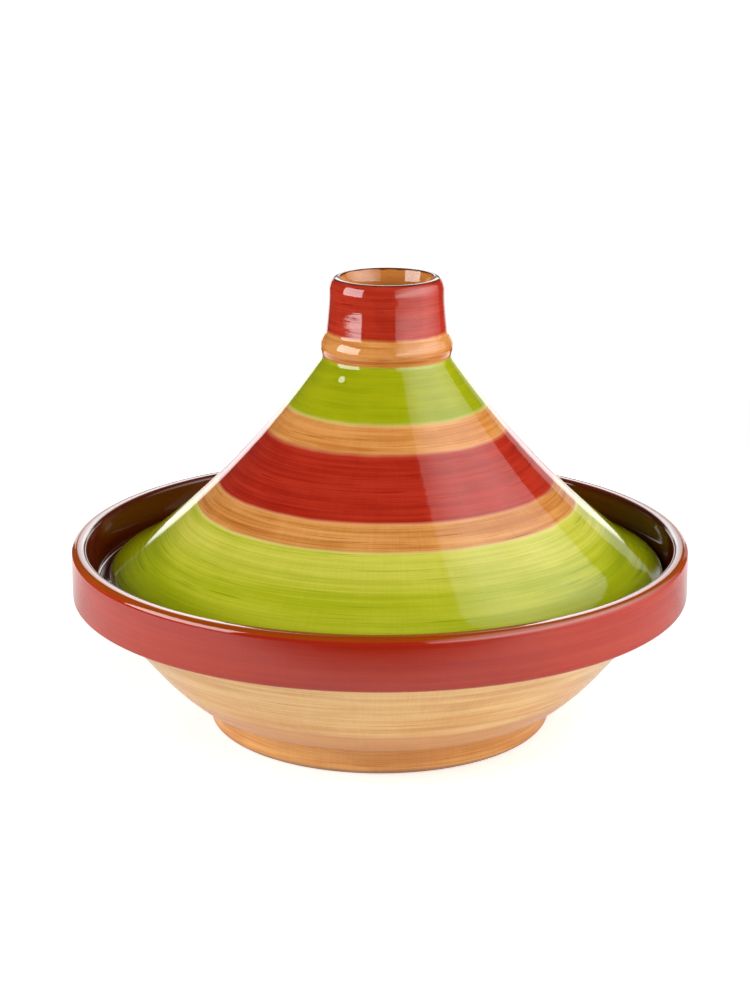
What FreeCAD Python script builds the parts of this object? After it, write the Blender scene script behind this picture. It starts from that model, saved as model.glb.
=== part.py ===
import FreeCAD, Part
import math
import os
import Sketcher

# Tagine pot: a low round dish with a gallery round its mouth, and a conical lid with a hollow chimney.
# Millimetres, +Z up. The origin is the centre of the foot ring, on the surface that the pot stands on.

SIZES = {
    # Dish, outside
    "rim_diameter": 300.0,
    "dish_height": 90.5,
    "band_height": 24.8,
    "band_step": 11.0,
    "band_edge_round": 1.6,
    "flank_angle": 39.7,
    "belly_height": 37.0,
    "belly_round": 125.0,
    "hip_overhang": 11.0,
    "hip_round": 1.2,
    "foot_diameter": 168.0,
    "foot_height": 16.5,
    "foot_width": 10.0,
    "foot_recess": 7.5,
    "foot_round": 2.4,
    # Dish, inside
    "lip_width": 7.4,
    "gallery_depth": 19.0,
    "gallery_wall": 10.75,
    "gallery_corner_round": 3.0,
    "ledge_width": 14.0,
    "ledge_edge_round": 2.5,
    "bowl_wall": 8.5,
    "floor_thickness": 9.5,
    "floor_round": 28.0,
    # How the lid lies in its gallery
    "lid_play": 4.0,
    "lid_side_gap": 0.75,
    # Lid
    "lid_edge_round": 3.8,
    "lid_edge_turn": 65.0,
    "lid_wall": 6.5,
    "flare_run": 17.3,
    "flare_height": 16.5,
    "flare_round": 65.0,
    "cone_round": 475.0,
    "neck_diameter": 60.4,
    "neck_height": 110.0,
    "collar_height": 12.0,
    "collar_round": 8.8,
    "collar_fillet": 3.0,
    "dome_rise": 6.5,
    # Chimney
    "chimney_base_diameter": 56.0,
    "chimney_top_diameter": 54.8,
    "chimney_height": 25.6,
    "chimney_wall": 5.2,
    "cup_depth": 28.0,
    "cup_draft": 1.5,
    "cup_floor_round": 6.0,
}

# The two edges of a lip are rounded until they all but meet, so each takes just under half of its wall.
LIP_SHARE = " * 0.46"


def cell(name):
    return "<<sizes>>." + name


def fill_sheet(doc):
    """One row of the sheet for each driving size: its name, its value, and the name as the cell's alias."""
    sheet = doc.addObject("Spreadsheet::Sheet", "sizes")
    for row, (name, value) in enumerate(SIZES.items(), start=1):
        sheet.set("A%d" % row, name)
        sheet.set("B%d" % row, str(value))
        sheet.setAlias("B%d" % row, name)
    doc.recompute()
    return sheet


def number(body, expression):
    """The value, in millimetres, that an expression on the sheet has now."""
    value = body.evalExpression(expression)
    return float(getattr(value, "Value", value))


def arc_between(start, end, radius, turn):
    """The short arc from start to end; turn is 1 where it bends to the left and -1 to the right."""
    chord = end - start
    middle = (start + end) * 0.5
    reach = math.sqrt(radius ** 2 - (chord.Length / 2) ** 2)
    side = FreeCAD.Vector(-chord.y, chord.x, 0).normalize()
    centre = middle + side * reach * turn
    first, last = (start, end) if turn > 0 else (end, start)
    from_angle = math.atan2(first.y - centre.y, first.x - centre.x)
    to_angle = math.atan2(last.y - centre.y, last.x - centre.x)
    circle = Part.Circle(centre, FreeCAD.Vector(0, 0, 1), radius)
    return Part.ArcOfCircle(circle, from_angle, to_angle)


def turned_body(doc, name, outline):
    """A body turned about Z from its half section.

    The outline runs round the section once. Each entry is the radius and the height of a corner, and for an arc
    that leaves the corner, its own radius and the way it bends.
    """
    body = doc.addObject("PartDesign::Body", name)
    body.Label = name
    sketch = body.newObject("Sketcher::SketchObject", name + "_section")
    planes = [plane for plane in body.Origin.OriginFeatures if plane.Role == "XZ_Plane"]
    sketch.AttachmentSupport = (planes[0], [""])
    sketch.MapMode = "FlatFace"

    corners = [FreeCAD.Vector(number(sketch, entry[0]), number(sketch, entry[1]), 0) for entry in outline]
    ends = []
    for index, entry in enumerate(outline):
        start = corners[index]
        end = corners[(index + 1) % len(corners)]
        if len(entry) == 2:
            sketch.addGeometry(Part.LineSegment(start, end))
            ends.append((1, 2))
        else:
            bend = arc_between(start, end, number(sketch, entry[2]), entry[3])
            sketch.addGeometry(bend)
            ends.append((1, 2) if entry[3] > 0 else (2, 1))

    for index, entry in enumerate(outline):
        following = (index + 1) % len(outline)
        sketch.addConstraint(
            Sketcher.Constraint("Coincident", index, ends[index][1], following, ends[following][0])
        )
        for direction, expression, value in (
            ("DistanceX", entry[0], corners[index].x),
            ("DistanceY", entry[1], corners[index].y),
        ):
            place = Sketcher.Constraint(direction, -1, 1, index, ends[index][0], value)
            sketch.setExpression("Constraints[%d]" % sketch.addConstraint(place), expression)
        if len(entry) == 4:
            size = Sketcher.Constraint("Radius", index, number(sketch, entry[2]))
            sketch.setExpression("Constraints[%d]" % sketch.addConstraint(size), entry[2])

    turned = body.newObject("PartDesign::Revolution", name + "_turned")
    turned.Profile = sketch
    turned.ReferenceAxis = (sketch, ["V_Axis"])
    turned.Angle = 360
    doc.recompute()
    return body


def round_rings(doc, body, name, rings, radius):
    """Round the circular edges whose radius and height are given as expressions on the sheet."""
    base = body.Tip
    wanted = [(number(base, ring[0]), number(base, ring[1])) for ring in rings]
    near = 0.01
    found = []
    for index, edge in enumerate(base.Shape.Edges, start=1):
        if edge.Degenerated or edge.Curve.TypeId != "Part::GeomCircle":
            continue
        ring = (edge.Curve.Radius, edge.Curve.Center.z)
        if any(math.dist(ring, place) < near for place in wanted):
            found.append("Edge%d" % index)
    if len(found) != len(rings):
        raise RuntimeError("%s: %d edges for %d rings" % (name, len(found), len(rings)))
    fillet = body.newObject("PartDesign::Fillet", name)
    fillet.Base = (base, found)
    fillet.setExpression("Radius", radius)
    doc.recompute()


def make_dish(doc):
    """Foot ring, flaring bowl, upright band, lip, gallery and the ledge that carries the lid."""
    axis = "0"
    rim = cell("rim_diameter") + " / 2"
    top = cell("dish_height")
    lip_inside = rim + " - " + cell("lip_width")
    gallery = rim + " - " + cell("gallery_wall")
    ledge = top + " - " + cell("gallery_depth")
    mouth = gallery + " - " + cell("ledge_width")

    band_bottom = top + " - " + cell("band_height")
    bowl_top = rim + " - " + cell("band_step")
    flank_drop = "(" + band_bottom + " - " + cell("belly_height") + ")"
    belly = bowl_top + " - " + flank_drop + " * tan(" + cell("flank_angle") + " * 1 deg)"
    foot = cell("foot_diameter") + " / 2"
    hip = foot + " + " + cell("hip_overhang")
    hip_height = cell("foot_height")
    foot_inside = foot + " - " + cell("foot_width")

    # The inner wall is the outer one moved in and up by equal steps, which keeps the wall even on this slope.
    step = cell("bowl_wall") + " / sqrt(2)"
    floor = cell("foot_recess") + " + " + cell("floor_thickness")
    hip_inside = hip + " - " + step
    hip_inside_height = hip_height + " + " + step
    sweep_drop = "(" + hip_inside_height + " - (" + floor + "))"
    sweep = "sqrt(" + sweep_drop + " * (2 * " + cell("floor_round") + " - " + sweep_drop + "))"
    belly_round = cell("belly_round")

    body = turned_body(doc, "dish", [
        (axis, cell("foot_recess")),
        (foot_inside, cell("foot_recess")),
        (foot_inside, "0"),
        (foot, "0"),
        (foot, hip_height),
        (hip, hip_height, belly_round, 1),
        (belly, cell("belly_height")),
        (bowl_top, band_bottom),
        (rim, band_bottom),
        (rim, top),
        (lip_inside, top),
        (gallery, ledge),
        (mouth, ledge),
        (belly + " - " + step, cell("belly_height") + " + " + step, belly_round, -1),
        (hip_inside, hip_inside_height, cell("floor_round"), -1),
        (hip_inside + " - " + sweep, floor),
        (axis, floor),
    ])
    lip_round = cell("lip_width") + LIP_SHARE
    round_rings(doc, body, "lip_round", [(rim, top), (lip_inside, top)], lip_round)
    round_rings(doc, body, "gallery_corner", [(gallery, ledge)], cell("gallery_corner_round"))
    round_rings(doc, body, "ledge_edge", [(mouth, ledge)], cell("ledge_edge_round"))
    round_rings(doc, body, "band_edge", [(rim, band_bottom)], cell("band_edge_round"))
    round_rings(doc, body, "hip_edge", [(hip, hip_height)], cell("hip_round"))
    round_rings(doc, body, "foot_edges", [(foot, "0"), (foot_inside, "0")], cell("foot_round"))
    return body


def make_lid(doc):
    """Rolled edge, trumpet cone, collar bead and the hollow chimney, with the cone's hollow beneath."""
    axis = "0"
    edge_round = cell("lid_edge_round")
    rim = cell("rim_diameter") + " / 2"
    widest = rim + " - " + cell("gallery_wall") + " - " + cell("lid_play")
    edge_centre = widest + " - " + edge_round
    edge_turn = cell("lid_edge_turn") + " * 1 deg"
    edge_end = edge_centre + " + " + edge_round + " * cos(" + edge_turn + ")"
    edge_end_height = edge_round + " + " + edge_round + " * sin(" + edge_turn + ")"
    flare = widest + " - " + cell("flare_run")
    flare_height = cell("flare_height")
    neck = cell("neck_diameter") + " / 2"
    neck_height = cell("neck_height")
    collar_top = neck_height + " + " + cell("collar_height")
    lid_top = collar_top + " + " + cell("chimney_height")
    chimney_base = cell("chimney_base_diameter") + " / 2"
    chimney = cell("chimney_top_diameter") + " / 2"
    mouth = chimney + " - " + cell("chimney_wall")
    cup_floor = lid_top + " - " + cell("cup_depth")
    cup_foot = mouth + " - " + cell("cup_draft")

    # The underside is the outside moved in and down by equal steps, so the wall of the cone is even.
    step = cell("lid_wall") + " / sqrt(2)"
    hollow_top = neck + " - " + step
    hollow_top_height = neck_height + " - " + step
    dome_rise = cell("dome_rise")
    dome_round = "((" + hollow_top + ") ^ 2 + " + dome_rise + " ^ 2) / (2 * " + dome_rise + ")"

    body = turned_body(doc, "lid", [
        (edge_centre + " - " + edge_round, "0"),
        (edge_centre, "0", edge_round, 1),
        (edge_end, edge_end_height, cell("flare_round"), -1),
        (flare, flare_height, cell("cone_round"), -1),
        (neck, neck_height, cell("collar_round"), 1),
        (chimney_base, collar_top),
        (chimney, lid_top),
        (mouth, lid_top),
        (cup_foot, cup_floor),
        (axis, cup_floor),
        (axis, hollow_top_height + " + " + dome_rise, dome_round, -1),
        (hollow_top, hollow_top_height, cell("cone_round"), 1),
        (flare + " - " + step, flare_height + " - " + step, cell("flare_round"), 1),
    ])
    lip_round = cell("chimney_wall") + LIP_SHARE
    round_rings(doc, body, "chimney_lip", [(chimney, lid_top), (mouth, lid_top)], lip_round)
    round_rings(doc, body, "cup_floor_edge", [(cup_foot, cup_floor)], cell("cup_floor_round"))
    round_rings(doc, body, "collar_hollow", [(chimney_base, collar_top)], cell("collar_fillet"))

    # The lid stands on the ledge of the gallery, pushed to one side as far as its play lets it go.
    body.setExpression("Placement.Base.x", cell("lid_play") + " - " + cell("lid_side_gap"))
    body.setExpression("Placement.Base.z", cell("dish_height") + " - " + cell("gallery_depth"))
    doc.recompute()
    return body


def check(doc):
    for item in doc.Objects:
        faults = {"Invalid", "Error"} & set(item.State)
        if faults:
            raise RuntimeError("%s: %s" % (item.Name, ", ".join(faults)))


def write_parts(bodies):
    os.makedirs("parts", exist_ok=True)
    for body in bodies:
        shape = body.Shape
        if shape.isNull() or not shape.isValid() or len(shape.Solids) != 1:
            raise RuntimeError("%s is not one sound solid" % body.Label)
        shape.exportStep("parts/%s.step" % body.Label)
        box = shape.optimalBoundingBox(False)
        print("%s: %.0f x %.0f x %.1f mm, %.0f cm3" % (
            body.Label, box.XLength, box.YLength, box.ZLength, shape.Volume / 1000
        ))


document = FreeCAD.newDocument("tagine_pot")
fill_sheet(document)
pieces = [make_dish(document), make_lid(document)]
document.recompute()
check(document)
write_parts(pieces)
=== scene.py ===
# %% [markdown]
# # A painted tagine pot
# The pot is two loose pieces of glazed earthenware: a low dish on a foot ring, and a trumpet-shaped lid
# with a hollow chimney for a handle. Both were thrown on a wheel, so both are made here the way a potter
# makes them: one half-section is drawn and turned about its axis. The colour was brushed on while the
# wheel went round, so the paint follows the same turning.

# %% Load the frame
import math

import bpy
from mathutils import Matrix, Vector


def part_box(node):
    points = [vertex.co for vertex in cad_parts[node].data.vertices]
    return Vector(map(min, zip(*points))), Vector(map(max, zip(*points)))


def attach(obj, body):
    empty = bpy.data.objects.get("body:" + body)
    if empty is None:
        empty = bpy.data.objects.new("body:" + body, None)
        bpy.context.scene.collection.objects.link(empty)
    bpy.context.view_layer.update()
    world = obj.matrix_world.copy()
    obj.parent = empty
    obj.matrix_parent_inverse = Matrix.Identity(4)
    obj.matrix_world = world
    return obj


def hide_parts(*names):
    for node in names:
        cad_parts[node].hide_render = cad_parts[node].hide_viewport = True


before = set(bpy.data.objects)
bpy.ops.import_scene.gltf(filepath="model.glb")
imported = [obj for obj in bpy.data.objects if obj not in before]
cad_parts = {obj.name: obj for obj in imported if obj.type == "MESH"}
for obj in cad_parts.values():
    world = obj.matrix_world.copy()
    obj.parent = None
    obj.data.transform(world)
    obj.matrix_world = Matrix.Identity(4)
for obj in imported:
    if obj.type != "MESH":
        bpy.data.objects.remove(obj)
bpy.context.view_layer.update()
dish_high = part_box("dish")[1]
lid_low, lid_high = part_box("lid")

# %% [markdown]
# ## Camera
# The photograph looks down on the pot at sixteen degrees with a longish lens. The lens, the height and
# the distance were fitted to the ellipses of the rim and the painted bands, so the pot fills the frame as
# it does in the picture. The sensor's 36 mm lie along the long side of an upright frame.

# %% Camera
CAMERA_PLACE = (-0.00237, -1.04404, 0.40995)
CAMERA_PITCH = 16.09
CAMERA_LENS = 80.24

bpy.ops.object.select_all(action="DESELECT")
bpy.ops.object.camera_add(location=CAMERA_PLACE, rotation=(math.radians(90 - CAMERA_PITCH), 0, 0))
camera = bpy.context.object
camera.name = "photo_camera"
camera.data.lens = CAMERA_LENS
bpy.context.scene.camera = camera
bpy.context.scene.view_settings.view_transform = "Standard"
print("camera at", tuple(round(v, 3) for v in camera.location))

# %% [markdown]
# ## Small helpers for shader nodes
# A material is a tree of nodes. The first helper adds a node, sets its options and fills its inputs,
# either with a plain value or with a link from another node. The others build on it: one does arithmetic,
# one mixes two colours, and two start and place a node group, which is a small tree with named sockets
# that both glazes share.

# %% Node helpers
def node(tree, kind, inputs=None, **options):
    """Add a node of a kind, set its options and fill its inputs with values or links."""
    new = tree.nodes.new("ShaderNode" + kind)
    for name, value in options.items():
        setattr(new, name, value)
    for name, value in (inputs or {}).items():
        if isinstance(value, bpy.types.NodeSocket):
            tree.links.new(value, new.inputs[name])
        else:
            new.inputs[name].default_value = value
    return new


def math_node(tree, operation, first, second=0.0, third=0.0):
    """Add a Math node and return its output."""
    return node(tree, "Math", {0: first, 1: second, 2: third}, operation=operation).outputs[0]


def mix_colour(tree, share, first, second):
    """Mix two colours by a share and return the mixed colour."""
    return node(tree, "Mix", {0: share, 6: first, 7: second}, data_type="RGBA").outputs[2]


print("node helpers ready")


# %% Group and material helpers
def start_group(name, inputs, outputs):
    """Start a shader node group with named sockets; give back the tree, its inputs and its output node."""
    tree = bpy.data.node_groups.new(name, "ShaderNodeTree")
    for socket, kind in inputs:
        tree.interface.new_socket(socket, in_out="INPUT", socket_type="NodeSocket" + kind)
    for socket, kind in outputs:
        tree.interface.new_socket(socket, in_out="OUTPUT", socket_type="NodeSocket" + kind)
    return tree, tree.nodes.new("NodeGroupInput").outputs, tree.nodes.new("NodeGroupOutput").inputs


def place_group(tree, group, inputs):
    """Place a node group in a tree and return its outputs."""
    return node(tree, "Group", inputs, node_tree=group).outputs


def new_material(name):
    """Start a material and return it with its node tree and its shader."""
    material = bpy.data.materials.new(name)
    material.use_nodes = True
    return material, material.node_tree, material.node_tree.nodes["Principled BSDF"]


print("group and material helpers ready")

# %% [markdown]
# ## Table and backdrop
# The pot stands on a small white table, and a wide white card hangs far behind it. To the camera both are
# as white as the page. In the glaze the card shows as pale edges along the cone and on the lip, and a
# second, dimmer card at its right as the softer wedge there. The table is a soft sheen on the band, and
# its part behind the pot shines in the glaze as the card does. Towards the camera, below the frame, its
# colour is painted dark, a painted shade, because the middle of the red band mirrors a shaded place there.
# Round the foot it is less white, so that the pot's shadow shows.

# %% Cards and matt paper
def flat_card(name, width, depth, centre, tilt=0.0):
    """Add a flat card of a size at a place, tilted about X, with its place in its mesh."""
    bpy.ops.object.select_all(action="DESELECT")
    bpy.ops.mesh.primitive_plane_add(size=1, location=centre, rotation=(tilt, 0, 0))
    card = bpy.context.object
    card.name = name
    card.scale = (width, depth, 1)
    bpy.ops.object.transform_apply(location=True, rotation=True, scale=True)
    print(name, [round(v, 2) for v in card.dimensions])
    return card


def matt_material(name, shade):
    """Start a material with no gloss, of one grey."""
    material, tree, shader = new_material(name)
    shader.inputs["Base Color"].default_value = (shade, shade, shade, 1)
    shader.inputs["Roughness"].default_value = 1.0
    shader.inputs["Specular IOR Level"].default_value = 0.0
    shader.inputs["Emission Color"].default_value = (1, 1, 1, 1)
    return material, tree, shader


def slope(tree, value, start, end, low=0.0, high=1.0):
    """A value that runs evenly from low at the start to high at the end."""
    return node(tree, "MapRange", {"Value": value, "From Min": start, "From Max": end, "To Min": low,
                                   "To Max": high}).outputs["Result"]


def in_the_glaze(tree, seen):
    """1 for a ray that comes from a mirroring or clear surface, such as the glaze, and 0 for any other."""
    return math_node(tree, "MAXIMUM", seen["Is Glossy Ray"], seen["Is Transmission Ray"])


print("card helpers ready")

# %% Table
TABLE_FRONT, TABLE_BACK, TABLE_HALF = -0.7, 0.5, 0.5
TABLE_SHADE, FRONT_PAINTED_SHADE = 0.94, 0.03
SHADE_FROM, SHADE_TO = -0.29, -0.42
WHITE_NEAR, NEAR, FAR = 0.48, 0.15, 0.36
BEHIND_FROM, BEHIND_TO = 0.12, 0.35

table_middle = (0, (TABLE_BACK + TABLE_FRONT) / 2, 0)
table = flat_card("white_table", 2 * TABLE_HALF, TABLE_BACK - TABLE_FRONT, table_middle)
table_white, tree, shader = matt_material("table_white", TABLE_SHADE)
place = node(tree, "TexCoord").outputs["Object"]
away = node(tree, "VectorMath", {0: place}, operation="LENGTH").outputs["Value"]
ahead = node(tree, "SeparateXYZ", {0: place}).outputs["Y"]
# Painted shade: the table's colour runs to near black towards the camera, for the shaded place the band
# mirrors.
shade = slope(tree, ahead, SHADE_TO, SHADE_FROM, FRONT_PAINTED_SHADE, TABLE_SHADE)
tree.links.new(shade, shader.inputs["Base Color"])
page = slope(tree, away, NEAR, FAR, WHITE_NEAR, 1.0)
seen = node(tree, "LightPath").outputs
page = math_node(tree, "MULTIPLY", seen["Is Camera Ray"], page)
mirrored = math_node(tree, "MULTIPLY", in_the_glaze(tree, seen), slope(tree, ahead, BEHIND_FROM, BEHIND_TO))
tree.links.new(math_node(tree, "MAXIMUM", page, mirrored), shader.inputs["Emission Strength"])
table.data.materials.append(table_white)

# %% Backdrop
CARD_AWAY, CARD_HALF, CARD_LOW, CARD_TOP = 2.4, 1.1, -0.4, 0.3
SIDE_FROM, SIDE_TO, SIDE_TOP, SIDE_DIM = 1.1, 1.5, 0.75, 0.45


def hung_card(name, left, right, low, top, strength):
    """Hang an upright card far behind the pot: white to the camera, of a strength in the glaze."""
    middle = ((left + right) / 2, CARD_AWAY, (low + top) / 2)
    card = flat_card(name, right - left, top - low, middle, math.radians(90))
    material, tree, shader = matt_material(name + "_paper", TABLE_SHADE)
    seen = node(tree, "LightPath").outputs
    mirrored = math_node(tree, "MULTIPLY", in_the_glaze(tree, seen), strength)
    white = math_node(tree, "MAXIMUM", seen["Is Camera Ray"], mirrored)
    tree.links.new(white, shader.inputs["Emission Strength"])
    card.data.materials.append(material)


hung_card("white_backdrop", -CARD_HALF, CARD_HALF, CARD_LOW, CARD_TOP, 1.0)
hung_card("side_backdrop", SIDE_FROM, SIDE_TO, CARD_LOW, SIDE_TOP, SIDE_DIM)

# %% [markdown]
# ## Dark room
# A glossy pot mirrors everything round it. In the picture the clean, deep colours of the cone mirror a
# dark room, while the page behind the pot is white. So the world is plain white, and a tent of black
# cloth, which the camera looks through, keeps that white out of the glaze, as a photographer's flags do.
# The cloth glows a little, as a real room does.

# %% World and black tent
TENT_SIZE, TENT_MIDDLE = 8.0, (0, 0, 2)
CLOTH_SHADE, ROOM_GLOW = 0.03, 0.035

world = bpy.data.worlds.new("white_page")
bpy.context.scene.world = world
world.use_nodes = True
world.node_tree.nodes["Background"].inputs["Color"].default_value = (1, 1, 1, 1)
world.node_tree.nodes["Background"].inputs["Strength"].default_value = 1.0

bpy.ops.object.select_all(action="DESELECT")
bpy.ops.mesh.primitive_cube_add(size=TENT_SIZE, location=TENT_MIDDLE)
tent = bpy.context.object
tent.name = "black_tent"
bpy.ops.object.transform_apply(location=True, rotation=True, scale=True)
tent.visible_camera = False
black_cloth, tree, shader = matt_material("black_cloth", CLOTH_SHADE)
shader.inputs["Emission Strength"].default_value = ROOM_GLOW
tent.data.materials.append(black_cloth)
print("tent", tuple(round(v, 2) for v in tent.dimensions))

# %% [markdown]
# ## Lamps
# Soft boxes light the pot, and their mirror images draw its gloss. A tall, wide panel stands close on the
# right: it is the pale veil with straight edges down the right half of the cone, brightest low down,
# where its tube sits. A smaller, brighter box on the left gives the square glints on the chimney, the
# bead and the fillet under the bead. Behind the pot, a strip draws the white line along the rims, a low
# row makes the pale wedges down both sides of the cone, and a short row on each side whitens the sides of
# the lip. A lamp's power follows from how bright its face looks. A fade names a direction, the place
# along it where the face is still fully bright, the place where the fade ends, and the share of light
# that is left there.

# %% Lamps
ACROSS, BACK, UP = (1, 0, 0), (0, 1, 0), (0, 0, 1)
ROW_AWAY, SIDE_ROW_OUT, SIDE_ROW_UP = 2.36, 0.74, 0.51


def soft_box(name, centre, aim, width, height, brightness, fades=()):
    """Add a lamp with a rectangular face of a brightness, turned to a point; fades dim parts of it."""
    turn = (Vector(aim) - Vector(centre)).to_track_quat("-Z", "Y").to_euler()
    bpy.ops.object.select_all(action="DESELECT")
    bpy.ops.object.light_add(type="AREA", location=centre, rotation=turn)
    lamp = bpy.context.object
    lamp.name = name
    lamp.data.shape = "RECTANGLE"
    lamp.data.size = width
    lamp.data.size_y = height
    lamp.data.energy = math.pi * width * height * brightness
    lamp.visible_camera = False
    lamp.data.use_nodes = True
    tree = lamp.data.node_tree
    place = node(tree, "NewGeometry").outputs["Position"]
    share = 1.0
    for axis, bright, dim, left in fades:
        run = node(tree, "VectorMath", {0: place, 1: axis}, operation="DOT_PRODUCT").outputs["Value"]
        fade = node(tree, "MapRange", {"Value": run, "From Min": bright, "From Max": dim, "To Min": 1.0,
                                       "To Max": left}, interpolation_type="SMOOTHSTEP").outputs["Result"]
        share = math_node(tree, "MULTIPLY", share, fade)
    if fades:
        tree.links.new(share, tree.nodes["Emission"].inputs["Strength"])
    print(name, "power", round(lamp.data.energy, 2), "W")


soft_box("right_panel", centre=(0.45, -0.64, 0.655), aim=(0, -0.64, 0.655), width=1.86, height=1.29,
         brightness=4.1, fades=[(BACK, -0.3, -1.55, 0.65), (BACK, -0.15, 0.3, 0.2), (UP, 0.35, 0.62, 0.5),
                                (UP, 0.62, 1.25, 0.45), (UP, 0.33, 0.1, 0.3)])
soft_box("left_box", centre=(-0.72, -0.235, 0.41), aim=(0, 0, 0.41), width=0.64, height=0.5, brightness=6.3)
soft_box("back_strip", centre=(0, 2.3, 1.2), aim=(0, 0, 0.8), width=1.5, height=1.8, brightness=4.2,
         fades=[(UP, 0.8, 1.9, 0.15), (UP, 0.85, 0.6, 0.05), (ACROSS, 0.25, 0.75, 0.0),
                (ACROSS, -0.25, -0.75, 0.0)])
soft_box("low_row", centre=(0, ROW_AWAY, 0.13), aim=(0, 0, 0.13), width=2.06, height=0.46, brightness=0.85)
for name, aside in (("low_left", -SIDE_ROW_OUT), ("low_right", SIDE_ROW_OUT)):
    soft_box(name, centre=(aside, ROW_AWAY, SIDE_ROW_UP), aim=(aside, 0, SIDE_ROW_UP), width=0.58,
             height=0.3, brightness=1.6)

# %% [markdown]
# ## Drawing a section
# A thrown pot is one half-section swept round an axis. A cone and a cylinder could be cut and bevelled
# into shape, but the flowing cone and its small hollow arcs are easier to draw once, as a potter's
# template would be cut: straight runs, arcs and rounded corners. An arc is known by its ends, its radius
# and the side it bends to. The corners are rounded in the section, so that each can have its own radius.
# Sections are written in millimetres.

# %% Arcs and corners
ARC_STEP, ARC_TURN, ARC_LEAST = 1.5, math.radians(3.5), 3
CORNER_STEP, CORNER_ROOM, FREE_ROOM, CORNER_LEAST = 0.35, 0.48, 0.98, 4


def arc_centre(start, end, radius, side):
    """Centre of an arc from start to end; side 1 bends left of the way, -1 right."""
    (r0, z0), (r1, z1) = start, end
    chord = math.hypot(r1 - r0, z1 - z0)
    rise = math.sqrt(radius ** 2 - (chord / 2) ** 2) * side
    return (r0 + r1) / 2 - (z1 - z0) / chord * rise, (z0 + z1) / 2 + (r1 - r0) / chord * rise


def arc(start, end, radius, side):
    """Points after the start on an arc to the end, close enough together to look round."""
    centre = arc_centre(start, end, radius, side)
    sweep = 2 * math.asin(math.dist(start, end) / 2 / radius) * side
    first = math.atan2(start[1] - centre[1], start[0] - centre[0])
    count = max(ARC_LEAST, math.ceil(abs(sweep) * radius / ARC_STEP), math.ceil(abs(sweep) / ARC_TURN))
    return [(centre[0] + radius * math.cos(first + sweep * i / count),
             centre[1] + radius * math.sin(first + sweep * i / count)) for i in range(1, count + 1)]


def rounded(points, corners):
    """Replace each named corner of a chain by an arc of its radius."""
    chain = []
    for i, point in enumerate(points):
        radius = corners.get(point)
        if radius is None:
            chain.append(point)
            continue
        here = Vector(point)
        back = Vector(points[i - 1]) - here
        ahead = Vector(points[i + 1]) - here
        half = back.angle(ahead) / 2
        room = [CORNER_ROOM if points[k] in corners else FREE_ROOM for k in (i - 1, i + 1)]
        slide = min(radius / math.tan(half), room[0] * back.length, room[1] * ahead.length)
        fitted = slide * math.tan(half)
        first, last = here + back.normalized() * slide, here + ahead.normalized() * slide
        side = 1 if back.x * ahead.y - back.y * ahead.x < 0 else -1
        count = max(CORNER_LEAST, round((math.pi - 2 * half) * fitted / CORNER_STEP))
        chain.append(tuple(first))
        middle = here + (back.normalized() + ahead.normalized()).normalized() * (fitted / math.sin(half))
        start = math.atan2(first.y - middle.y, first.x - middle.x)
        sweep = (math.pi - 2 * half) * side
        chain += [(middle.x + fitted * math.cos(start + sweep * k / count),
                   middle.y + fitted * math.sin(start + sweep * k / count)) for k in range(1, count)]
        chain.append(tuple(last))
    return chain


print("arcs every", ARC_STEP, "mm at most, corners every", CORNER_STEP, "mm")

# %% [markdown]
# ## Turning the section
# The section is drawn in Blender as by hand: one vertex, extruded to the next place again and again. Spin
# then turns it, as the wheel does, the doubles at the seam and on the axis are merged, and the normals
# are made to point outwards. A Screw modifier could turn it too, but Spin leaves a plain mesh at once.
# Each vertex keeps how far along the section it lies, and Spin copies that number round with it, so that
# the paint can follow the surface wherever it bends.

# %% Turning
MM = 0.001
TURN_STEPS, WELD = 240, 1e-6


def lengths(chain):
    """Distance of each point of a chain from its first point."""
    run = [0.0]
    for (r0, z0), (r1, z1) in zip(chain, chain[1:]):
        run.append(run[-1] + math.hypot(r1 - r0, z1 - z0))
    return run


def along_at(chain, r, z):
    """How far along a chain its point nearest to a place lies."""
    run = lengths(chain)
    nearest = min(range(len(chain)), key=lambda i: math.hypot(chain[i][0] - r, chain[i][1] - z))
    return run[nearest]


def turned(name, chain, axis_x=0.0, base_z=0.0):
    """Draw a chain as vertices in the upright plane through an axis, and spin it round that axis."""
    places = [Vector((axis_x + r, 0, base_z + z)) * MM for r, z in chain]
    bpy.ops.object.select_all(action="DESELECT")
    bpy.ops.mesh.primitive_circle_add(vertices=3, radius=MM)
    piece = bpy.context.object
    piece.name = piece.data.name = name
    bpy.ops.object.mode_set(mode="EDIT")
    bpy.ops.mesh.select_mode(type="VERT")
    bpy.ops.mesh.select_all(action="SELECT")
    bpy.ops.mesh.merge(type="CENTER")
    bpy.ops.transform.translate(value=places[0])
    for here, after in zip(places, places[1:]):
        bpy.ops.mesh.extrude_region_move(TRANSFORM_OT_translate={"value": after - here})
    bpy.ops.object.mode_set(mode="OBJECT")
    kept = piece.data.attributes.new("along", "FLOAT", "POINT")
    for vertex, run in zip(piece.data.vertices, lengths(chain)):
        kept.data[vertex.index].value = run
    bpy.ops.object.mode_set(mode="EDIT")
    bpy.ops.mesh.select_all(action="SELECT")
    bpy.ops.mesh.spin(steps=TURN_STEPS, angle=2 * math.pi, center=(axis_x * MM, 0, 0), axis=(0, 0, 1))
    bpy.ops.mesh.select_all(action="SELECT")
    bpy.ops.mesh.remove_doubles(threshold=WELD)
    bpy.ops.mesh.normals_make_consistent(inside=False)
    bpy.ops.object.mode_set(mode="OBJECT")
    bpy.ops.object.shade_smooth()
    print(name, len(piece.data.vertices), "vertices, section", round(lengths(chain)[-1], 1), "mm")
    return piece


print("turned in", TURN_STEPS, "steps")

# %% [markdown]
# ## Dish
# From the middle of the underside the section runs out to the foot ring, up the flaring bowl, round the
# upright band and its rolled lip, down into the gallery where the lid sits, and over a ledge to the
# floor. The lip is not a half circle: its outer side is rounder than its inner one, with the crest
# between them. The rim and the height come from the box of the CAD node, so that the two models keep one
# size.

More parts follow.
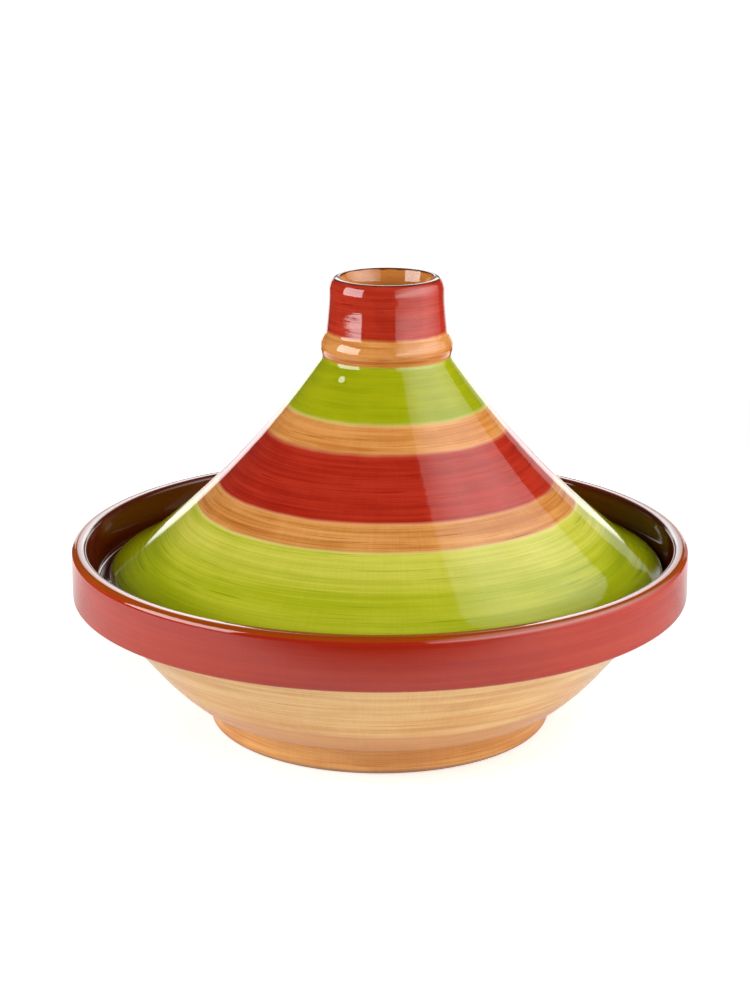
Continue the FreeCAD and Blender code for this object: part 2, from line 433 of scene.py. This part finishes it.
# %% Dish
RIM = round(dish_high[0] / MM, 1)
DISH_TOP = round(dish_high[2] / MM, 1)
BAND_LOW = DISH_TOP - 24.8
BOWL_TOP = RIM - 11.0
LEDGE = DISH_TOP - 19.0

FOOT_IN, FOOT_OUT, FOOT_RECESS, HIP_Z = 74.0, 84.0, 7.5, 16.5
HIP, BELLY = (95.0, HIP_Z), (115.17, 37.0)
LIP_CREST = (RIM - 4.0, DISH_TOP)
BOWL_ROUND, FLOOR_ROUND = 125.0, 28.0
LIP_IN, GALLERY, MOUTH = RIM - 7.4, RIM - 10.75, RIM - 24.75
BELLY_IN, HIP_IN, FLOOR_EDGE = (109.16, 43.01), (88.99, 22.51), (72.3, 17.0)

dish_points = [(0.0, FOOT_RECESS), (FOOT_IN, FOOT_RECESS), (FOOT_IN, 0.0), (FOOT_OUT, 0.0)]
dish_points += [(FOOT_OUT, HIP_Z), HIP] + arc(HIP, BELLY, BOWL_ROUND, 1)
dish_points += [(BOWL_TOP, BAND_LOW), (RIM, BAND_LOW), (RIM, DISH_TOP), LIP_CREST, (LIP_IN, DISH_TOP)]
dish_points += [(GALLERY, LEDGE), (MOUTH, LEDGE), BELLY_IN] + arc(BELLY_IN, HIP_IN, BOWL_ROUND, -1)
dish_points += arc(HIP_IN, FLOOR_EDGE, FLOOR_ROUND, -1) + [(0.0, FLOOR_EDGE[1])]
dish_corners = {
    (FOOT_IN, FOOT_RECESS): 2.0, (FOOT_IN, 0.0): 2.4, (FOOT_OUT, 0.0): 2.4, (FOOT_OUT, HIP_Z): 2.0,
    HIP: 1.2, (BOWL_TOP, BAND_LOW): 1.5, (RIM, BAND_LOW): 1.6, (RIM, DISH_TOP): 3.2,
    (LIP_IN, DISH_TOP): 2.6, (GALLERY, LEDGE): 3.0, (MOUTH, LEDGE): 2.5}
dish_chain = rounded(dish_points, dish_corners)
dish = turned("painted_dish", dish_chain)

# %% [markdown]
# ## Lid
# The lid's section starts under its dome, runs down inside the cone to the rolled edge that sits in the
# gallery, and climbs the outside: flare, cone, the bead round the neck, the chimney, and over its lip
# into the cup. A finger smoothed the corners below and above the bead, so each is a small hollow arc that
# touches the curves on both its sides; its centre lies where two circles round their centres cross. The
# chimney's wall leans in a little, then turns upright below a rounder lip. The lid lies a little to the
# right in its gallery, as a loose lid does.

# %% Lid sizes
LID_AXIS = round((lid_low[0] + lid_high[0]) / 2 / MM, 2)
LID_BASE = round(lid_low[2] / MM, 2)
LID_TOP = round((lid_high[2] - lid_low[2]) / MM, 2)

SOLE_IN, SOLE_OUT, EDGE_END = (127.65, 0.0), (131.45, 0.0), (133.06, 7.24)
FLARE, NECK, BEAD_END = (117.95, 16.5), (30.2, 110.0), (28.0, 122.0)
WAIST, SHOULDER = (27.42, LID_TOP - 8.6), (27.4, LID_TOP - 6.18)
SHOULDER_END, LIP_TOP = (26.59, LID_TOP - 2.06), (23.53, LID_TOP)
CUP_MOUTH, CUP_THROAT = (22.6, LID_TOP), (20.9, LID_TOP - 6.5)
CUP_FOOT, CUP_FLOOR = (20.7, LID_TOP - 28.0), (0.0, LID_TOP - 28.0)
DOME, HOLLOW_TOP, FLARE_IN = (0.0, 111.9), (25.6, 105.4), (113.35, 11.9)
CONE, FLARE_ROUND, EDGE_ROUND, DOME_ROUND = 475.0, 65.0, 3.8, 53.7
BEAD, NECK_ROUND, CREASE, SWEEP, HOLLOW = 8.8, 4.2, 3.0, 900.0, 70.0
SHOULDER_ROUND, LIP_ROUND = 11.0, 3.3
WAIST_TILT, KNEE_TILT = math.radians(0.5), math.radians(5.2)
print("lid axis at", LID_AXIS, "mm, base at", LID_BASE, "mm, height", LID_TOP, "mm")


# %% Hollow arcs and the chimney's wall
def between(first, second, share):
    """The point at a share of the way from one point to another."""
    return first[0] + (second[0] - first[0]) * share, first[1] + (second[1] - first[1]) * share


def crossing(first, first_radius, second, second_radius):
    """Where two circles cross, on the left of the way from the first centre to the second."""
    gap = math.dist(first, second)
    ahead = (gap ** 2 + first_radius ** 2 - second_radius ** 2) / (2 * gap)
    aside = math.sqrt(first_radius ** 2 - ahead ** 2)
    r, z = between(first, second, ahead / gap)
    return r - (second[1] - first[1]) / gap * aside, z + (second[0] - first[0]) / gap * aside


def off_wall(place, tilt, distance):
    """The point at a distance straight out from a wall whose face tilts up by an angle."""
    return place[0] + distance * math.cos(tilt), place[1] + distance * math.sin(tilt)


bead_centre = arc_centre(NECK, BEAD_END, BEAD, 1)
cone_centre = arc_centre(FLARE, NECK, CONE, -1)
neck_centre = crossing(cone_centre, CONE - NECK_ROUND, bead_centre, BEAD + NECK_ROUND)
CONE_END = between(cone_centre, neck_centre, CONE / (CONE - NECK_ROUND))
BEAD_LOW = between(bead_centre, neck_centre, BEAD / (BEAD + NECK_ROUND))
KNEE = off_wall(off_wall(WAIST, WAIST_TILT, HOLLOW), KNEE_TILT, -HOLLOW)
sweep_centre = off_wall(KNEE, KNEE_TILT, SWEEP)
crease_centre = crossing(bead_centre, BEAD + CREASE, sweep_centre, SWEEP - CREASE)
BEAD_TOP = between(bead_centre, crease_centre, BEAD / (BEAD + CREASE))
CHIMNEY_FOOT = between(sweep_centre, crease_centre, SWEEP / (SWEEP - CREASE))
print("bead from", [round(v, 2) for v in BEAD_LOW], "to", [round(v, 2) for v in BEAD_TOP], "mm")

# %% Lid
lid_points = [DOME] + arc(DOME, HOLLOW_TOP, DOME_ROUND, -1) + arc(HOLLOW_TOP, FLARE_IN, CONE, 1)
lid_points += arc(FLARE_IN, SOLE_IN, FLARE_ROUND, 1) + [SOLE_OUT] + arc(SOLE_OUT, EDGE_END, EDGE_ROUND, 1)
lid_points += arc(EDGE_END, FLARE, FLARE_ROUND, -1) + arc(FLARE, CONE_END, CONE, -1)
lid_points += arc(CONE_END, BEAD_LOW, NECK_ROUND, -1) + arc(BEAD_LOW, BEAD_TOP, BEAD, 1)
lid_points += arc(BEAD_TOP, CHIMNEY_FOOT, CREASE, -1) + arc(CHIMNEY_FOOT, KNEE, SWEEP, -1)
lid_points += arc(KNEE, WAIST, HOLLOW, -1) + [SHOULDER] + arc(SHOULDER, SHOULDER_END, SHOULDER_ROUND, 1)
lid_points += arc(SHOULDER_END, LIP_TOP, LIP_ROUND, 1) + [CUP_MOUTH, CUP_THROAT, CUP_FOOT, CUP_FLOOR]
# Corners are found by their place, so the tiny errors at the ends of arcs are rounded away.
lid_points = [(round(r, 6), round(z, 6)) for r, z in lid_points]
lid_corners = {
    HOLLOW_TOP: 3.0, SOLE_IN: 1.0, EDGE_END: 1.2, CUP_MOUTH: 0.9, CUP_THROAT: 12.0, CUP_FOOT: 6.0}
lid_chain = rounded(lid_points, lid_corners)
lid = turned("painted_lid", lid_chain, LID_AXIS, LID_BASE)

# %% [markdown]
# ## Paint that follows the wheel
# The pot was painted with a wide brush held against the turning clay. Its hairs leave fine lines that run
# round the pot, with a few broader tones, soft places where a stroke starts or ends, and dark dashes
# where a hair was overloaded. Where one band meets the next, the edge wobbles a little. A painted picture
# would need an unwrapped mesh and would show its seam. Noise has no seam if its coordinates are the
# direction round the axis, which closes on itself, and the distance along the section, stretched so that
# a feature is long one way and thin the other.

# %% Wheel coordinates
NOISE_ROUGHNESS = 0.55

wheel, given, out = start_group("wheel_coordinates", [("Centre", "Vector")],
                                [("Round", "Vector"), ("Along", "Float")])
place = node(wheel, "TexCoord").outputs["Object"]
arm = node(wheel, "VectorMath", {0: place, 1: given["Centre"]}, operation="SUBTRACT").outputs[0]
flat = node(wheel, "VectorMath", {0: arm, 1: (1, 1, 0)}, operation="MULTIPLY").outputs[0]
wheel.links.new(node(wheel, "VectorMath", {0: flat}, operation="NORMALIZE").outputs[0], out["Round"])
wheel.links.new(node(wheel, "Attribute", attribute_name="along").outputs["Fac"], out["Along"])


def wheel_noise(tree, around, along, turns, pitch, detail, seed=0.0):
    """Noise stretched round the pot: so many features to a radian, and one to so many millimetres."""
    wide = node(tree, "VectorMath", {0: around, "Scale": turns}, operation="SCALE").outputs[0]
    up = node(tree, "CombineXYZ", {"Z": math_node(tree, "MULTIPLY_ADD", along, 1 / pitch, seed)}).outputs[0]
    at = node(tree, "VectorMath", {0: wide, 1: up}, operation="ADD").outputs[0]
    inputs = {"Vector": at, "Scale": 1.0, "Detail": detail, "Roughness": NOISE_ROUGHNESS}
    return node(tree, "TexNoise", inputs).outputs["Fac"]


def spread(tree, value, low, high):
    """Stretch a value from a narrow range to the whole of 0 to 1."""
    return node(tree, "MapRange", {"Value": value, "From Min": low, "From Max": high},
                interpolation_type="SMOOTHSTEP").outputs["Result"]


print("wheel coordinates give", [socket.name for socket in out if socket.name])

# %% Brush strokes
GRAIN_SCALE = 1100.0

brush, given, out = start_group(
    "brush_strokes", [("Round", "Vector"), ("Along", "Float")],
    [("Streak", "Float"), ("Dash", "Float"), ("Broad", "Float"), ("Wobble", "Float")])
around, along = given["Round"], given["Along"]
fine = wheel_noise(brush, around, along, turns=0.9, pitch=0.55, detail=2.0)
broad = wheel_noise(brush, around, along, turns=0.8, pitch=2.8, detail=2.0, seed=17.0)
stroke = wheel_noise(brush, around, along, turns=2.4, pitch=14.0, detail=3.0, seed=41.0)
cross = wheel_noise(brush, around, along, turns=130.0, pitch=16.0, detail=1.0, seed=53.0)
dash = wheel_noise(brush, around, along, turns=2.2, pitch=0.9, detail=1.0, seed=29.0)
wobble = wheel_noise(brush, around, along, turns=3.0, pitch=40.0, detail=2.0, seed=71.0)
grain = node(brush, "TexNoise", {"Vector": node(brush, "TexCoord").outputs["Object"], "Scale": GRAIN_SCALE,
                                 "Detail": 2.0}).outputs["Fac"]
fine = spread(brush, fine, 0.28, 0.72)
broad = spread(brush, broad, 0.3, 0.7)
stroke = spread(brush, stroke, 0.35, 0.65)
cross = spread(brush, cross, 0.3, 0.7)
streak = 0.0
for share, layer in ((0.3, fine), (0.32, broad), (0.2, stroke), (0.07, cross), (0.11, grain)):
    streak = math_node(brush, "MULTIPLY_ADD", layer, share, streak)
brush.links.new(spread(brush, streak, 0.15, 0.85), out["Streak"])
brush.links.new(spread(brush, dash, 0.62, 0.76), out["Dash"])
brush.links.new(broad, out["Broad"])
brush.links.new(math_node(brush, "SUBTRACT", wobble, 0.5), out["Wobble"])
print("brush strokes in", len(brush.nodes), "nodes")

# %% Edge of a band
EDGE_WOBBLE, FRINGE_REACH = 1.4, 0.75

rim_of_paint, given, out = start_group(
    "painted_edge", [("Along", "Float"), ("Wobble", "Float"), ("Edge", "Float"), ("Softness", "Float")],
    [("After", "Float"), ("Fringe", "Float")])
shifted = math_node(rim_of_paint, "MULTIPLY_ADD", given["Wobble"], EDGE_WOBBLE, given["Along"])
past = math_node(rim_of_paint, "SUBTRACT", shifted, given["Edge"])
after = math_node(rim_of_paint, "DIVIDE", past, given["Softness"])
rim_of_paint.links.new(spread(rim_of_paint, after, -0.5, 0.5), out["After"])
near = math_node(rim_of_paint, "MULTIPLY", math_node(rim_of_paint, "ABSOLUTE", after), FRINGE_REACH)
far = spread(rim_of_paint, near, 0.0, 1.0)
rim_of_paint.links.new(math_node(rim_of_paint, "SUBTRACT", 1.0, far), out["Fringe"])
print("band edge in", len(rim_of_paint.nodes), "nodes")

# %% [markdown]
# ## Glaze
# A clear glaze covers the paint, poured and fired, so it is smooth like glass but never quite flat: it
# gathers a little along the brush lines and has faint waves. A clear coat over a rougher paint would be
# another way, but the glaze leaves no paint bare, so one smooth surface does. One group gives a height
# for the bump and a roughness.

# %% Glaze group
WAVE_SCALE, LUMP_SCALE, DULL_SCALE = 90.0, 170.0, 40.0
ROUGH_LOW, ROUGH_HIGH = 0.035, 0.085

glaze, given, out = start_group("clear_glaze", [("Round", "Vector"), ("Along", "Float"), ("Fine", "Float")],
                                [("Height", "Float"), ("Roughness", "Float")])
place = node(glaze, "TexCoord").outputs["Object"]
waves = node(glaze, "TexNoise", {"Vector": place, "Scale": WAVE_SCALE, "Detail": 2.0}).outputs["Fac"]
rings = wheel_noise(glaze, given["Round"], given["Along"], turns=0.8, pitch=3.0, detail=1.0, seed=5.0)
lumps = node(glaze, "TexNoise", {"Vector": place, "Scale": LUMP_SCALE, "Detail": 1.0}).outputs["Fac"]
height = 0.0
for share, layer in ((0.6, waves), (0.5, rings), (0.5, lumps), (0.08, given["Fine"])):
    height = math_node(glaze, "MULTIPLY_ADD", layer, share, height)
glaze.links.new(height, out["Height"])
dull = node(glaze, "TexNoise", {"Vector": place, "Scale": DULL_SCALE, "Detail": 4.0}).outputs["Fac"]
glaze.links.new(slope(glaze, dull, 0.3, 0.7, ROUGH_LOW, ROUGH_HIGH), out["Roughness"])
print("clear glaze in", len(glaze.nodes), "nodes")

# %% [markdown]
# ## Painting a piece
# The potter lays one band after another and lets each start a little over or short of the last. So one
# function lays the paints in order, each from its edge on, shows some pale slip at the edge, and puts the
# glaze over all of them. It can also tilt a small round face, as a dried drop of glaze has, and dull a
# seat that another piece rubs.

# %% Painting function
GLAZE_IOR, GLAZE_DEPTH = 1.6, 0.00006
DROP_RADIUS, DROP_CORE = 0.0021, 0.6
RUBBED, SEAT_SOFTNESS = 0.03, 1.5
SLIP_PATCHY = 0.5


def painted_material(name, centre, first, bands, drops=(), seats=()):
    """Paint a piece: a first paint, then bands, each with its edge in mm along the section, softness,
    paint, slip colour, share of slip and, where the edge leans to one side, a lean in mm."""
    material, tree, shader = new_material(name)
    at = place_group(tree, wheel, {"Centre": centre})
    hair = place_group(tree, brush, {"Round": at["Round"], "Along": at["Along"]})

    def painted(paint):
        """One paint, thin along the streaks and dark in the dashes."""
        thick, thin, dark = paint
        even = mix_colour(tree, hair["Streak"], (*thick, 1), (*thin, 1))
        return mix_colour(tree, hair["Dash"], even, (*dark, 1))

    def band_edge(run, edge, softness):
        """The soft, wobbling edge of a band: what comes after it, and the fringe along it."""
        return place_group(tree, rim_of_paint, {"Along": run, "Wobble": hair["Wobble"], "Edge": edge,
                                                "Softness": softness})

    colour = painted(first)
    for edge, softness, paint, slip, share, *lean in bands:
        run = at["Along"]
        for lead in lean:
            ahead = node(tree, "VectorMath", {0: at["Round"], 1: lead}, operation="DOT_PRODUCT")
            run = math_node(tree, "ADD", run, ahead.outputs["Value"])
        line = band_edge(run, edge, softness)
        colour = mix_colour(tree, line["After"], colour, painted(paint))
        if share:
            patchy = math_node(tree, "MULTIPLY_ADD", hair["Broad"], SLIP_PATCHY, 1 - SLIP_PATCHY)
            bare = math_node(tree, "MULTIPLY", line["Fringe"], math_node(tree, "MULTIPLY", patchy, share))
            colour = mix_colour(tree, bare, colour, (*slip, 1))
    skin = place_group(tree, glaze, {"Round": at["Round"], "Along": at["Along"], "Fine": hair["Streak"]})
    facing = node(tree, "NewGeometry").outputs["Normal"]
    for drop, face in drops:
        away = node(tree, "VectorMath", {0: node(tree, "TexCoord").outputs["Object"], 1: drop},
                    operation="DISTANCE").outputs["Value"]
        cover = math_node(tree, "SUBTRACT", 1.0, spread(tree, away, DROP_CORE * DROP_RADIUS, DROP_RADIUS))
        face = node(tree, "VectorTransform", {"Vector": face}, vector_type="NORMAL", convert_from="OBJECT",
                    convert_to="WORLD").outputs[0]
        facing = node(tree, "Mix", {0: cover, 4: facing, 5: face}, data_type="VECTOR").outputs[1]
        facing = node(tree, "VectorMath", {0: facing}, operation="NORMALIZE").outputs[0]
    gloss = skin["Roughness"]
    for seat in seats:
        ends = [band_edge(at["Along"], edge, SEAT_SOFTNESS)["After"] for edge in seat]
        gloss = math_node(tree, "MULTIPLY_ADD", math_node(tree, "SUBTRACT", *ends), RUBBED, gloss)
    tree.links.new(colour, shader.inputs["Base Color"])
    tree.links.new(gloss, shader.inputs["Roughness"])
    shader.inputs["IOR"].default_value = GLAZE_IOR
    bump = node(tree, "Bump", {"Height": skin["Height"], "Normal": facing, "Strength": 1.0,
                               "Distance": GLAZE_DEPTH})
    tree.links.new(bump.outputs["Normal"], shader.inputs["Normal"])
    return material


print("painting function ready")

# %% [markdown]
# ## Paint of the dish
# Each paint is three colours: where the brush left it thick, where it is thin and the pale slip shows
# through, and the dark hairs of a loaded brush. The foot is orange, the bowl pale ochre with a rosy zone
# just above the foot, the upright band red up over its edge, the lip brown, and the whole inside from the
# lip's crest on a deep brown. The foot ring stands on bare clay. The lid has rubbed the ledge it sits on
# a little dull.

# %% Dish paint
OCHRE_FOOT = ((0.62, 0.24, 0.05), (0.86, 0.46, 0.15), (0.54, 0.17, 0.03))
ROSY_OCHRE = ((0.65, 0.28, 0.08), (0.79, 0.40, 0.13), (0.60, 0.24, 0.065))
PALE_OCHRE = ((0.69, 0.33, 0.088), (0.93, 0.625, 0.25), (0.58, 0.24, 0.058))
BAND_RED = ((0.40, 0.018, 0.004), (0.48, 0.032, 0.009), (0.38, 0.016, 0.004))
LIP_BROWN = ((0.32, 0.047, 0.001), (0.40, 0.067, 0.0018), (0.26, 0.039, 0.0006))
DEEP_BROWN = ((0.15, 0.019, 0.0008), (0.21, 0.029, 0.0015), (0.125, 0.016, 0.0006))
CLAY = ((0.45, 0.22, 0.11), (0.55, 0.30, 0.16), (0.38, 0.17, 0.08))
CREAM = (0.86, 0.62, 0.36)
NO_SLIP = (0.0, 0.0, 0.0)
BARE_FOOT, ROSY_TOP = 2.0, (107.6, 28.3)
RED_FROM, LIP_FROM = (RIM - 2.5, BAND_LOW), (RIM - 0.6, DISH_TOP - 1.5)
INSIDE_FROM = (RIM - 4.6, DISH_TOP)
SEAT_FROM, SEAT_TO = (GALLERY - 3.0, LEDGE), (MOUTH + 2.0, LEDGE)


def dish_edge(r, z):
    """Distance along the dish's section of a place given by radius and height."""
    return along_at(dish_chain, r, z)


dish_bands = [
    (dish_edge(FOOT_IN, BARE_FOOT), 1.5, CLAY, NO_SLIP, 0.0),
    (dish_edge(FOOT_OUT, BARE_FOOT), 1.5, OCHRE_FOOT, NO_SLIP, 0.0),
    (dish_edge(*HIP), 1.0, ROSY_OCHRE, CREAM, 0.5),
    (dish_edge(*ROSY_TOP), 2.0, PALE_OCHRE, CREAM, 0.25),
    (dish_edge(*RED_FROM), 1.0, BAND_RED, CREAM, 0.3),
    (dish_edge(*LIP_FROM), 0.8, LIP_BROWN, NO_SLIP, 0.0),
    (dish_edge(*INSIDE_FROM), 2.6, DEEP_BROWN, NO_SLIP, 0.0)]
lid_seat = (dish_edge(*SEAT_FROM), dish_edge(*SEAT_TO))
dish.data.materials.clear()
dish.data.materials.append(
    painted_material("painted_dish_glaze", (0, 0, 0), OCHRE_FOOT, dish_bands, seats=[lid_seat]))
print("dish bands at", [round(b[0], 1) for b in dish_bands], "mm")

# %% [markdown]
# ## Paint of the lid
# Bands of green, ochre and red climb the cone to an ochre bead and a red chimney, and the inside is deep
# brown like the dish's. Between two bands the brush often missed a hair's breadth, so a thin pale line of
# slip shows. The low green is thinner and yellower at its top. A deeper green lies at the lid's edge,
# partly darker paint and partly painted shade where the dish's lip shades it, and it reaches higher at the
# pot's sides and back than at its front, so that edge leans: that lean is painted shade. The bead's lower
# corner, which faces down, is painted a deeper ochre as painted shade. The crest of the chimney's lip has a
# dark line, and the cup inside it is ochre. One drop of glaze dried proud under the bead, with a face that
# mirrors the left box.

# %% Lid paint
RED = ((0.38, 0.015, 0.005), (0.53, 0.034, 0.013), (0.35, 0.013, 0.004))
CHIMNEY_RED = ((0.42, 0.022, 0.008), (0.55, 0.042, 0.017), (0.38, 0.018, 0.006))
LIP_DARK = ((0.10, 0.020, 0.004), (0.16, 0.032, 0.007), (0.08, 0.015, 0.003))
OCHRE = ((0.61, 0.21, 0.038), (0.80, 0.355, 0.098), (0.55, 0.175, 0.03))
OCHRE_LOW = ((0.55, 0.18, 0.030), (0.82, 0.38, 0.105), (0.42, 0.10, 0.016))
# Ochre with painted shade: the bead's lower corner, which faces down, is painted darker.
OCHRE_PAINTED_SHADE = ((0.56, 0.155, 0.016), (0.68, 0.215, 0.03), (0.50, 0.135, 0.014))
OCHRE_CUP = ((0.62, 0.21, 0.036), (0.71, 0.27, 0.055), (0.58, 0.19, 0.032))
GREEN_TOP = ((0.32, 0.37, 0.0015), (0.42, 0.44, 0.004), (0.30, 0.355, 0.001))
# A deeper green at the lid's edge: partly darker paint, partly painted shade from the dish's lip.
DEEP_GREEN_AND_SHADE = ((0.275, 0.33, 0.0008), (0.365, 0.405, 0.002), (0.20, 0.27, 0.0006))
GREEN_LOW = ((0.40, 0.45, 0.008), (0.56, 0.57, 0.034), (0.27, 0.36, 0.005))
GREEN_LIGHT = ((0.50, 0.52, 0.035), (0.70, 0.66, 0.09), (0.38, 0.44, 0.02))
YELLOW_SLIP = (0.86, 0.74, 0.26)
ROSY_SLIP = (0.84, 0.40, 0.18)
# Painted shade: this lean lets the deeper green reach higher at the sides and back than at the front.
GREEN_SHADE_LEAN = (0, -28, 0)
GLAZE_DROP = ((-0.0179, -0.0274, 0.1753), (-0.554, -0.767, 0.323))


def lid_edge(r, z):
    """Distance along the lid's section of a place given by radius and height above the table."""
    return along_at(lid_chain, r, z - LID_BASE)


lip_height = LID_BASE + LID_TOP
EDGE_GREEN_FROM = (132.0, LID_BASE + 0.1)
LOW_GREEN_FROM, LIGHT_GREEN_FROM = (105.0, 99.8), (106.0, 99.0)
LOW_OCHRE_FROM, RED_BAND_FROM = (92.6, 109.9), (81.1, 121.05)
TOP_OCHRE_FROM, TOP_GREEN_FROM = (57.2, 147.4), (47.6, 158.55)
BEAD_FROM, BEAD_SHADE_END, CHIMNEY_FROM = (30.3, 181.5), (33.0, 185.0), (28.6, 193.6)
CREST_FROM, CUP_FROM = (25.2, lip_height - 0.45), (22.3, lip_height - 1.0)

lid_bands = [
    # The deeper green at the edge and its leaning top are partly painted shade.
    (lid_edge(*EDGE_GREEN_FROM), 2.0, DEEP_GREEN_AND_SHADE, NO_SLIP, 0.0),
    (lid_edge(*LOW_GREEN_FROM), 18.0, GREEN_LOW, NO_SLIP, 0.0, GREEN_SHADE_LEAN),
    (lid_edge(*LIGHT_GREEN_FROM), 14.0, GREEN_LIGHT, NO_SLIP, 0.0),
    (lid_edge(*LOW_OCHRE_FROM), 1.0, OCHRE_LOW, YELLOW_SLIP, 0.8),
    (lid_edge(*RED_BAND_FROM), 1.1, RED, ROSY_SLIP, 0.55),
    (lid_edge(*TOP_OCHRE_FROM), 1.4, OCHRE, ROSY_SLIP, 0.5),
    (lid_edge(*TOP_GREEN_FROM), 1.4, GREEN_TOP, YELLOW_SLIP, 0.5),
    # The bead's lower corner is painted a darker ochre as painted shade, up to the next edge.
    (lid_edge(*BEAD_FROM), 1.2, OCHRE_PAINTED_SHADE, YELLOW_SLIP, 0.1),
    (lid_edge(*BEAD_SHADE_END), 5.0, OCHRE, NO_SLIP, 0.0),
    (lid_edge(*CHIMNEY_FROM), 2.4, CHIMNEY_RED, NO_SLIP, 0.0),
    (lid_edge(*CREST_FROM), 0.9, LIP_DARK, NO_SLIP, 0.0),
    (lid_edge(*CUP_FROM), 0.9, OCHRE_CUP, NO_SLIP, 0.0)]
lid.data.materials.clear()
lid.data.materials.append(
    painted_material("painted_lid_glaze", (LID_AXIS * MM, 0, 0), DEEP_BROWN, lid_bands, [GLAZE_DROP]))
print("lid bands at", [round(b[0], 1) for b in lid_bands], "mm")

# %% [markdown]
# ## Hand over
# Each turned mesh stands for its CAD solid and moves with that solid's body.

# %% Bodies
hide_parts("dish")
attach(dish, "dish")
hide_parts("lid")
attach(lid, "lid")
